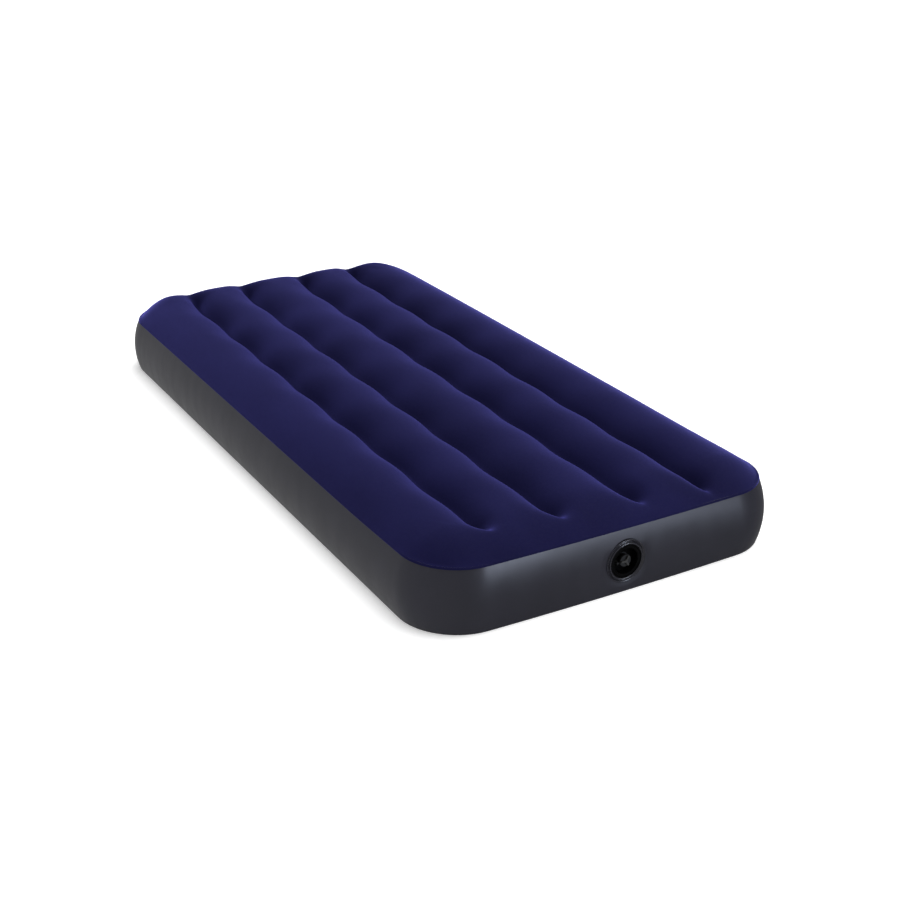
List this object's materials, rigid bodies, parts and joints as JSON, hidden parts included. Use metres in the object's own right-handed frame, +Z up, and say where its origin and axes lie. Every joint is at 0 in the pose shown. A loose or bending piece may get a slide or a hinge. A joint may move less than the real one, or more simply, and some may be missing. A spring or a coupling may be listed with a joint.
{
  "type": "flocked air bed",
  "caption": "Single inflatable bed: flocked top with lengthwise humps, bulging vinyl side wall, internal wavy beams and a screw-in inflation valve in the foot wall.",
  "frame": {"origin": "centre of the underside, on the ground", "axes": "+Z up, +Y towards the head end, +X to the right seen from the foot; the valve is in the foot wall at -Y"},
  "size_m": [0.9498, 1.9099, 0.192],
  "materials": {
    "flocked_top": "matt royal blue flock on vinyl",
    "wall_film": "slate grey vinyl film, satin",
    "base_film": "slate grey vinyl film, matt",
    "beam_film": "translucent grey vinyl film",
    "flange_vinyl": "soft grey vinyl moulding, satin",
    "valve_black": "black moulded plastic, satin",
    "gasket_rubber": "dark soft rubber",
    "flap_rubber": "grey soft rubber",
    "stud_plastic": "natural nylon",
    "cap_vinyl": "dark grey soft vinyl, satin"
  },
  "bodies": {
    "bed": {"top_sheet": "flocked_top", "side_wall": "wall_film", "bottom_sheet": "base_film", "wave_beam_1": "beam_film", "wave_beam_2": "beam_film", "wave_beam_3": "beam_film", "wave_beam_4": "beam_film", "valve_flange": "flange_vinyl", "valve_socket": "valve_black"},
    "gasket": {"plug_gasket": "gasket_rubber"},
    "plug": {"screw_plug": "valve_black", "flap_stud": "stud_plastic", "cap_strap": "cap_vinyl"},
    "cap": {"nozzle_cap": "cap_vinyl"},
    "flap": {"flap_disc": "flap_rubber"}
  },
  "joints": [
    {"name": "plug_travel", "type": "slide", "parent": "bed", "child": "gasket", "axis": [0, -1, 0], "range_m": [0, 0.009]},
    {"name": "plug_turn", "type": "hinge", "parent": "gasket", "child": "plug", "pos_m": [0.013, -0.9575, 0.074], "axis": [0, -1, 0], "range_deg": [0, 540]},
    {"name": "cap_swing", "type": "hinge", "parent": "plug", "child": "cap", "pos_m": [-0.00603, -0.9465, 0.0689], "axis": [0.2588, 0, -0.9659], "range_deg": [0, 105]},
    {"name": "flap_lift", "type": "slide", "parent": "plug", "child": "flap", "axis": [0, 1, 0], "range_m": [0, 0.0015], "stiffness_N_per_m": 30}
  ],
  "couplings": [
    {"joint": "plug_travel", "follows": "plug_turn", "m_per_rad": 0.00095493}
  ]
}
